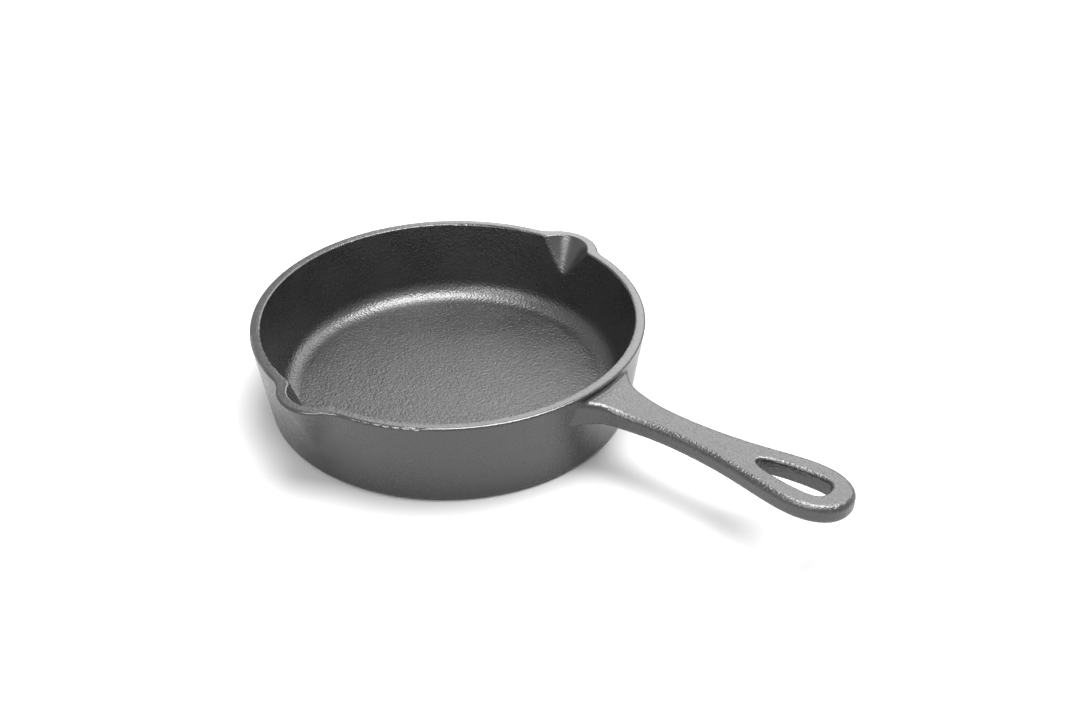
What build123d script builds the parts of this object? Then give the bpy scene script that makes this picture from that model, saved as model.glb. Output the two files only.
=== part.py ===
from build123d import *
import os

# A small cast iron skillet: one sand casting, 165 mm across the rim, with a pouring
# spout on each side and a flat handle that ends in a hanging eye.
# Frame: millimetres, +Z up, the pan's axis on Z, the base face on Z = 0, the handle along +X.
# The casting is shaped whole, then parted into its named regions, which abut face to face.

# Pan
rim_radius = 83.2
height = 39.5
base_radius = 77.3
base_edge_radius = 3.0
floor_thickness = 4.5
floor_corner_radius = 9.0
rim_thickness = 4.5
wall_foot_inner_radius = 72.8
rim_outer_rounding = 1.1
rim_inner_rounding = 0.8

# Pouring spouts, opposite each other and a touch off square to the handle:
# a leaning cone outside, and another inside as the channel
spout_line_turn = -2.3  # degrees about +Z
spout_reach = 90.5
spout_nose_radius = 19.0
spout_foot_height = 13.0
spout_foot_radius = 8.0
spout_blend_radius = 12.0
channel_reach = 85.8
channel_nose_radius = 13.0
channel_foot_height = 22.0
channel_foot_radius = 1.5
channel_crease_radius = 4.0
foot_sink = 1.0

# Handle: a flat bar whose top lies a step below the rim
handle_step = 6.1
handle_thickness = 7.9
handle_top_rounding = 2.6
handle_bottom_rounding = 2.8
root_x = 75.0
root_half_width = 26.0
neck_x = 91.0
neck_half_width = 9.4
waist_x = 115.5
waist_half_width = 6.9
eye_x = 172.0
eye_half_width = 13.6
tip_x = 190.0
root_blend_radius = 1.5
# The top rises to just under the rim where it meets the wall
ramp_step = 1.6
ramp_end_x = 104.0
ramp_pull = ((86.0, 35.3), (93.0, height - handle_step))
# Points that pull the outline's curves, from the root out to the tip
flare_pull = ((79.5, 19.0), (84.0, 10.6))
neck_pull = ((100.0, 7.9), (107.0, waist_half_width))
swell_pull = ((145.0, waist_half_width), (158.0, eye_half_width))
tip_pull = ((180.5, eye_half_width), (tip_x, 9.6))

# Hanging eye, a teardrop with its narrow end towards the pan
hole_start_x = 151.0
hole_wide_x = 173.5
hole_end_x = 180.7
hole_half_width = 5.4
hole_rounding = 1.5
hole_start_pull = ((hole_start_x, 3.6), (166.0, hole_half_width))
hole_end_pull = ((177.5, hole_half_width), (hole_end_x, 4.6))

# Where the casting is parted into regions
floor_region_radius = 62.0
rim_region_height = 3.2
spout_region_half_width = 24.0
spout_region_depth = 23.5
spout_region_inner_y = 60.0
root_region_x = 86.0
grip_region_x = 103.0
eye_region_x = 143.0
beyond = 10.0

handle_top = height - handle_step
handle_bottom = handle_top - handle_thickness
inner_rim_radius = rim_radius - rim_thickness


def drum(foot_radius, top_radius, floor_z, corner_radius):
    """A tapered drum from floor_z to the rim plane, with a rounded corner at its foot."""
    with BuildPart() as form:
        with BuildSketch(Plane.XZ):
            with BuildLine():
                Polyline((0, floor_z), (foot_radius, floor_z), (top_radius, height), (0, height), close=True)
            face = make_face()
            fillet(face.vertices().group_by(Axis.Y)[0].sort_by(Axis.X)[-1], radius=corner_radius)
        revolve(axis=Axis.Z)
    return form.part


def spout_cone(lip_reach, lip_radius, foot_reach, foot_radius, foot_z):
    """A leaning cone on +Y whose round nose reaches lip_reach at the rim plane."""
    with BuildPart() as form:
        with BuildSketch(Plane((0, lip_reach - lip_radius, height))):
            Circle(lip_radius)
        with BuildSketch(Plane((0, foot_reach - foot_radius, foot_z))):
            Circle(foot_radius)
        loft()
    return form.part


def wall_radius(foot_radius, top_radius, floor_z, z):
    """Radius at height z of a drum's straight wall."""
    return foot_radius + (top_radius - foot_radius) * (z - floor_z) / (height - floor_z)


def pan_form(foot_radius, top_radius, floor_z, corner_radius, cone, blend_radius):
    """A drum with the spout cone on both sides, the creases between them rounded."""
    with BuildPart() as form:
        add(drum(foot_radius, top_radius, floor_z, corner_radius))
        for side in (0, 180):
            add(cone.rotate(Axis.Z, side + spout_line_turn))
        fillet(form.edges().filter_by(GeomType.BSPLINE), radius=blend_radius)
    return form.part


# ---- pan, outside and inside ----
spout_foot_reach = wall_radius(base_radius, rim_radius, 0, spout_foot_height) - foot_sink
outer_cone = spout_cone(
    spout_reach, spout_nose_radius, spout_foot_reach, spout_foot_radius, spout_foot_height
)
outer_form = pan_form(base_radius, rim_radius, 0, base_edge_radius, outer_cone, spout_blend_radius)

channel_foot_reach = (
    wall_radius(wall_foot_inner_radius, inner_rim_radius, floor_thickness, channel_foot_height) - foot_sink
)
inner_cone = spout_cone(
    channel_reach, channel_nose_radius, channel_foot_reach, channel_foot_radius, channel_foot_height
)
inner_form = pan_form(
    wall_foot_inner_radius,
    inner_rim_radius,
    floor_thickness,
    floor_corner_radius,
    inner_cone,
    channel_crease_radius,
)

# ---- handle, flat, with a flared root that ramps up to the rim, a waist and a teardrop eye ----
with BuildPart() as over_handle:
    with BuildSketch(Plane.XZ):
        with BuildLine():
            Bezier((root_x, height - ramp_step), *ramp_pull, (ramp_end_x, handle_top))
            Line((ramp_end_x, handle_top), (tip_x + beyond, handle_top))
            Line((tip_x + beyond, handle_top), (tip_x + beyond, height + beyond))
            Line((tip_x + beyond, height + beyond), (root_x, height + beyond))
            Line((root_x, height + beyond), (root_x, height - ramp_step))
        make_face()
    extrude(amount=rim_radius, both=True)

with BuildPart() as handle:
    with BuildSketch(Plane.XY.offset(handle_bottom)):
        with BuildLine():
            # The root flares from the wall, runs in to the waist, swells to the eye and closes at the tip
            Bezier((root_x, root_half_width), *flare_pull, (neck_x, neck_half_width))
            Bezier((neck_x, neck_half_width), *neck_pull, (waist_x, waist_half_width))
            Bezier((waist_x, waist_half_width), *swell_pull, (eye_x, eye_half_width))
            Bezier((eye_x, eye_half_width), *tip_pull, (tip_x, 0))
            mirror(about=Plane.XZ)
            Line((root_x, root_half_width), (root_x, -root_half_width))
        make_face()
        with BuildLine():
            Bezier((hole_start_x, 0), *hole_start_pull, (hole_wide_x, hole_half_width))
            Bezier((hole_wide_x, hole_half_width), *hole_end_pull, (hole_end_x, 0))
            mirror(about=Plane.XZ)
        make_face(mode=Mode.SUBTRACT)
    extrude(amount=height - handle_bottom)
    add(over_handle.part, mode=Mode.SUBTRACT)
    curved_edges = handle.edges().filter_by(GeomType.LINE, reverse=True)
    hole_edges = curved_edges.filter_by(
        lambda edge: hole_start_x < edge.bounding_box().max.X < hole_end_x + 1
    )
    fillet(hole_edges, radius=hole_rounding)
    for level, rounding in ((-1, handle_top_rounding), (0, handle_bottom_rounding)):
        side_edges = handle.edges().filter_by(lambda edge: edge.bounding_box().max.X > tip_x - 1)
        fillet(side_edges.group_by(Axis.Z)[level], radius=rounding)

# ---- the whole casting ----
with BuildPart() as casting:
    add(outer_form)
    add(handle.part)
    root_edges = new_edges(outer_form, handle.part, combined=casting.part)
    fillet(root_edges, radius=root_blend_radius)
    add(inner_form, mode=Mode.SUBTRACT)
    lip_face = casting.faces().sort_by(Axis.Z)[-1]
    inner_lip = lip_face.inner_wires()[0].edges()
    outer_lip = lip_face.outer_wire().edges()
    fillet(inner_lip, radius=rim_inner_rounding)
    fillet(outer_lip, radius=rim_outer_rounding)

# ---- regions of the casting ----
spout_length = spout_reach - spout_region_inner_y + beyond
spout_depth = spout_region_depth + beyond
spout_middle = (0, spout_region_inner_y + spout_length / 2, height - spout_region_depth + spout_depth / 2)
spout_box = Pos(*spout_middle) * Box(2 * spout_region_half_width, spout_length, spout_depth)
spout_boxes = [spout_box.rotate(Axis.Z, side + spout_line_turn) for side in (0, 180)]
floor_core = Pos(0, 0, floor_thickness / 2) * Cylinder(floor_region_radius, height / 2)
rim_slab = Pos(0, 0, height - rim_region_height + beyond / 2) * Box(4 * rim_radius, 4 * rim_radius, beyond)


def bar(start_x, end_x):
    """A slice across the handle between two stations on X."""
    return Pos((start_x + end_x) / 2, 0, handle_bottom) * Box(end_x - start_x, 2 * rim_radius, height)


root_slice = bar(root_region_x, grip_region_x)
grip_slice = bar(grip_region_x, eye_region_x)
eye_slice = bar(eye_region_x, tip_x + beyond)


def finish(piece, name):
    """Label a region and write it to its own file."""
    piece.part.label = name
    export_step(piece.part, f"parts/{name}.step")


os.makedirs("parts", exist_ok=True)

with BuildPart() as cooking_floor:
    add(casting.part)
    add(floor_core, mode=Mode.INTERSECT)
finish(cooking_floor, "cooking_floor")

with BuildPart() as side_wall:
    add(casting.part)
    add(floor_core, mode=Mode.SUBTRACT)
    for handle_slice in (root_slice, grip_slice, eye_slice):
        add(handle_slice, mode=Mode.SUBTRACT)
    for box in spout_boxes:
        add(box, mode=Mode.SUBTRACT)
    add(rim_slab, mode=Mode.SUBTRACT)
finish(side_wall, "side_wall")

with BuildPart() as rim:
    add(casting.part)
    add(rim_slab, mode=Mode.INTERSECT)
    for box in spout_boxes:
        add(box, mode=Mode.SUBTRACT)
finish(rim, "rim")

with BuildPart() as spout_right:
    add(casting.part)
    add(spout_boxes[0], mode=Mode.INTERSECT)
finish(spout_right, "spout_right")

with BuildPart() as spout_left:
    add(casting.part)
    add(spout_boxes[1], mode=Mode.INTERSECT)
finish(spout_left, "spout_left")

with BuildPart() as handle_root:
    add(casting.part)
    add(root_slice, mode=Mode.INTERSECT)
finish(handle_root, "handle_root")

with BuildPart() as handle_grip:
    add(casting.part)
    add(grip_slice, mode=Mode.INTERSECT)
finish(handle_grip, "handle_grip")

with BuildPart() as hanging_eye:
    add(casting.part)
    add(eye_slice, mode=Mode.INTERSECT)
finish(hanging_eye, "hanging_eye")
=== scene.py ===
import math

import bpy
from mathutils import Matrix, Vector


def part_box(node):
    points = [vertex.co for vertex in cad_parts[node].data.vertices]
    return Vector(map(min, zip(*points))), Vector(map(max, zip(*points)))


# A small cast iron skillet on a white floor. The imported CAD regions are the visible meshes,
# and all of them share one cast iron material.

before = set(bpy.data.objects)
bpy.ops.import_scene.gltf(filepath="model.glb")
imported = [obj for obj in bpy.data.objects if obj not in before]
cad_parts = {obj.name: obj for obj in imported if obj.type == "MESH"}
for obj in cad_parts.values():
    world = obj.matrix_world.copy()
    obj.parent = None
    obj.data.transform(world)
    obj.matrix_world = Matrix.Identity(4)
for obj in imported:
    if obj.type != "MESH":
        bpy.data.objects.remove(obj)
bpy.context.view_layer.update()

MM = 0.001

# Places, in metres, worked out from the frame
RIM_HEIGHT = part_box("rim")[1].z
RIM_RADIUS = -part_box("rim")[0].x
FLOOR_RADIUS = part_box("cooking_floor")[1].x
WALL_FLARE = 5.9 * MM  # how much wider the outer wall's radius is at the rim than at the base
BASE_RADIUS = RIM_RADIUS - WALL_FLARE
WALL_TAPER = WALL_FLARE / RIM_HEIGHT

# Bands over which one finish fades into the next, each from none to full
INSIDE_BAND = (BASE_RADIUS - 2.0 * MM, BASE_RADIUS - 3.5 * MM)  # through the wall's thickness
RIM_BAND = (RIM_HEIGHT - 2.0 * MM, RIM_HEIGHT - 0.5 * MM)  # on Z
FLOOR_BAND = (FLOOR_RADIUS + 5.0 * MM, FLOOR_RADIUS)  # on the radius
HANDLE_BAND = (RIM_RADIUS - 2.0 * MM, RIM_RADIUS + 4.0 * MM)  # on X

# The cast skin: how wide its pebbles, its low swells and its patches of tint and gloss are
PEBBLE_SIZE = 1.0 * MM
SWELL_SIZE = 7.0 * MM
PATCH_SIZE = 22.0 * MM

# Depth of its relief, with what the rougher places add to the pebbles
SWELL_DEPTH = 0.10 * MM
PEBBLE_DEPTH = 0.06 * MM
INSIDE_EXTRA_DEPTH = 0.20 * MM
HANDLE_EXTRA_DEPTH = 0.24 * MM
FLOOR_EXTRA_DEPTH = 0.22 * MM

# Finish: the seasoning's roughness varies in patches, and the rim is rubbed smoother
PATCH_BAND = (0.3, 0.7)  # of the patches' noise
PATCH_ROUGHNESS = (0.17, 0.25)
FLOOR_EXTRA_ROUGHNESS = 0.10
RIM_EXTRA_ROUGHNESS = -0.05
PEBBLE_EXTRA_ROUGHNESS = 0.16
DARK_IRON = (0.005, 0.005, 0.0052, 1)
LIGHT_IRON = (0.013, 0.0128, 0.0126, 1)
SEASONING_IOR = 1.75

# Camera: from above the left spout's side, with the handle towards the lower right
CAMERA_PLACE = (0.3404, -0.3725, 0.3507)
CAMERA_TILT = 56.32  # degrees up from straight down
CAMERA_TURN = 38.04  # degrees about +Z
CAMERA_LENS = 46.67  # millimetres, as the sensor
CAMERA_SENSOR = 36.0

# Studio, sizes in metres
STAGE_SIZE = 8.0
STAGE_DROP = 0.1 * MM  # keeps the stage clear of the base face
STAGE_GREY = 0.49
SKY_STRENGTH = 0.9


def make_camera():
    """The product shot."""
    data = bpy.data.cameras.new("camera")
    camera = bpy.data.objects.new("camera", data)
    bpy.context.scene.collection.objects.link(camera)
    data.sensor_width = CAMERA_SENSOR
    data.lens = CAMERA_LENS
    camera.location = CAMERA_PLACE
    camera.rotation_euler = (math.radians(CAMERA_TILT), 0, math.radians(CAMERA_TURN))
    bpy.context.scene.camera = camera


def make_stage():
    """A wide matt stage under the pan."""
    bpy.ops.mesh.primitive_plane_add(size=STAGE_SIZE, location=(0, 0, -STAGE_DROP))
    floor = bpy.context.object
    floor.name = "floor"
    material = bpy.data.materials.new("floor_white")
    material.use_nodes = True
    shader = material.node_tree.nodes["Principled BSDF"]
    shader.inputs["Base Color"].default_value = (STAGE_GREY, STAGE_GREY, STAGE_GREY, 1)
    shader.inputs["Roughness"].default_value = 1.0
    shader.inputs["Specular IOR Level"].default_value = 0.0
    floor.data.materials.append(material)


def area_light(name, place, size, power):
    """A rectangular soft light, aimed at the middle of the base."""
    data = bpy.data.lights.new(name, "AREA")
    data.shape = "RECTANGLE"
    data.size, data.size_y = size
    data.energy = power
    light = bpy.data.objects.new(name, data)
    light.location = place
    light.rotation_euler = (-Vector(place)).to_track_quat("-Z", "Y").to_euler()
    bpy.context.scene.collection.objects.link(light)


def make_world():
    """An even white sky, shown without tone mapping so that the floor can reach white."""
    world = bpy.data.worlds.new("studio")
    world.use_nodes = True
    background = world.node_tree.nodes["Background"]
    background.inputs["Color"].default_value = (1, 1, 1, 1)
    background.inputs["Strength"].default_value = SKY_STRENGTH
    bpy.context.scene.world = world
    bpy.context.scene.view_settings.view_transform = "Standard"


class Nodes:
    """A small helper for writing a material's node tree in short lines."""

    def __init__(self, material):
        material.use_nodes = True
        self.tree = material.node_tree
        self.shader = self.tree.nodes["Principled BSDF"]

    def link(self, value, socket):
        """Feed a socket from another socket or with a plain value."""
        if isinstance(value, bpy.types.NodeSocket):
            self.tree.links.new(value, socket)
        else:
            socket.default_value = value

    def add(self, kind, **settings):
        """A new node with these settings."""
        node = self.tree.nodes.new(kind)
        for key, value in settings.items():
            setattr(node, key, value)
        return node

    def math(self, operation, first, second=0.0):
        """One arithmetic step."""
        node = self.add("ShaderNodeMath", operation=operation)
        self.link(first, node.inputs[0])
        self.link(second, node.inputs[1])
        return node.outputs[0]

    def total(self, start, *terms):
        """start plus each term, a (value, weight) pair."""
        result = start
        for value, weight in terms:
            result = self.math("ADD", result, self.math("MULTIPLY", value, weight))
        return result

    def noise(self, place, size, detail=2.0, roughness=0.5):
        """Noise whose features are about size metres across, from 0 to 1."""
        node = self.add("ShaderNodeTexNoise")
        self.link(place, node.inputs["Vector"])
        node.inputs["Scale"].default_value = 1 / size
        node.inputs["Detail"].default_value = detail
        node.inputs["Roughness"].default_value = roughness
        return node.outputs["Fac"]

    def ramp(self, value, band, result=(0.0, 1.0)):
        """A smooth step across the band, from the first result to the second."""
        node = self.add("ShaderNodeMapRange", interpolation_type="SMOOTHSTEP")
        self.link(value, node.inputs["Value"])
        node.inputs["From Min"].default_value, node.inputs["From Max"].default_value = band
        node.inputs["To Min"].default_value, node.inputs["To Max"].default_value = result
        return node.outputs["Result"]

    def mix(self, factor, first, second):
        """A colour between first and second, through the node's colour sockets."""
        node = self.add("ShaderNodeMix", data_type="RGBA")
        self.link(factor, node.inputs[0])
        self.link(first, node.inputs[6])
        self.link(second, node.inputs[7])
        return node.outputs[2]

    def bump(self, height, distance, normal=None):
        """A normal tilted by relief that is distance metres deep."""
        node = self.add("ShaderNodeBump")
        self.link(height, node.inputs["Height"])
        self.link(distance, node.inputs["Distance"])
        if normal:
            self.link(normal, node.inputs["Normal"])
        return node.outputs["Normal"]


def cast_iron():
    """Seasoned sand-cast iron: pebbled grain, patchy gloss and a rubbed rim."""
    material = bpy.data.materials.new("cast_iron")
    n = Nodes(material)
    place = n.add("ShaderNodeTexCoord").outputs["Object"]
    axes = n.add("ShaderNodeSeparateXYZ")
    n.link(place, axes.inputs[0])
    x, y, z = axes.outputs
    radius = n.math("SQRT", n.total(n.math("MULTIPLY", x, x), (y, y)))

    # Where on the casting: the wall's radius brought down to the base separates inside from outside
    wall = n.math("SUBTRACT", radius, n.math("MULTIPLY", z, WALL_TAPER))
    inside = n.ramp(wall, INSIDE_BAND)
    on_rim = n.ramp(z, RIM_BAND)
    on_floor = n.math("MULTIPLY", inside, n.ramp(radius, FLOOR_BAND))
    on_handle = n.ramp(x, HANDLE_BAND)

    pebbles = n.noise(place, PEBBLE_SIZE)
    swells = n.noise(place, SWELL_SIZE)
    patches = n.noise(place, PATCH_SIZE, detail=4, roughness=0.6)

    pebble_depth = n.total(
        PEBBLE_DEPTH,
        (inside, INSIDE_EXTRA_DEPTH),
        (on_handle, HANDLE_EXTRA_DEPTH),
        (on_floor, FLOOR_EXTRA_DEPTH),
    )
    swollen = n.bump(swells, SWELL_DEPTH)
    n.link(n.bump(pebbles, pebble_depth, swollen), n.shader.inputs["Normal"])

    roughness = n.total(
        n.ramp(patches, PATCH_BAND, PATCH_ROUGHNESS),
        (on_floor, FLOOR_EXTRA_ROUGHNESS),
        (on_rim, RIM_EXTRA_ROUGHNESS),
        (pebbles, PEBBLE_EXTRA_ROUGHNESS),
    )
    n.link(roughness, n.shader.inputs["Roughness"])
    n.link(n.mix(patches, DARK_IRON, LIGHT_IRON), n.shader.inputs["Base Color"])
    n.shader.inputs["IOR"].default_value = SEASONING_IOR
    return material


make_camera()
make_stage()
make_world()
area_light("overhead", place=(0.17, 0.10, 1.06), size=(0.65, 0.75), power=25)
area_light("back", place=(-0.18, 1.15, 0.92), size=(1.8, 0.8), power=15.5)
area_light("front_left", place=(0.05, -0.88, 0.95), size=(0.5, 0.5), power=7)
iron = cast_iron()
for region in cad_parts.values():
    region.data.materials.clear()
    region.data.materials.append(iron)
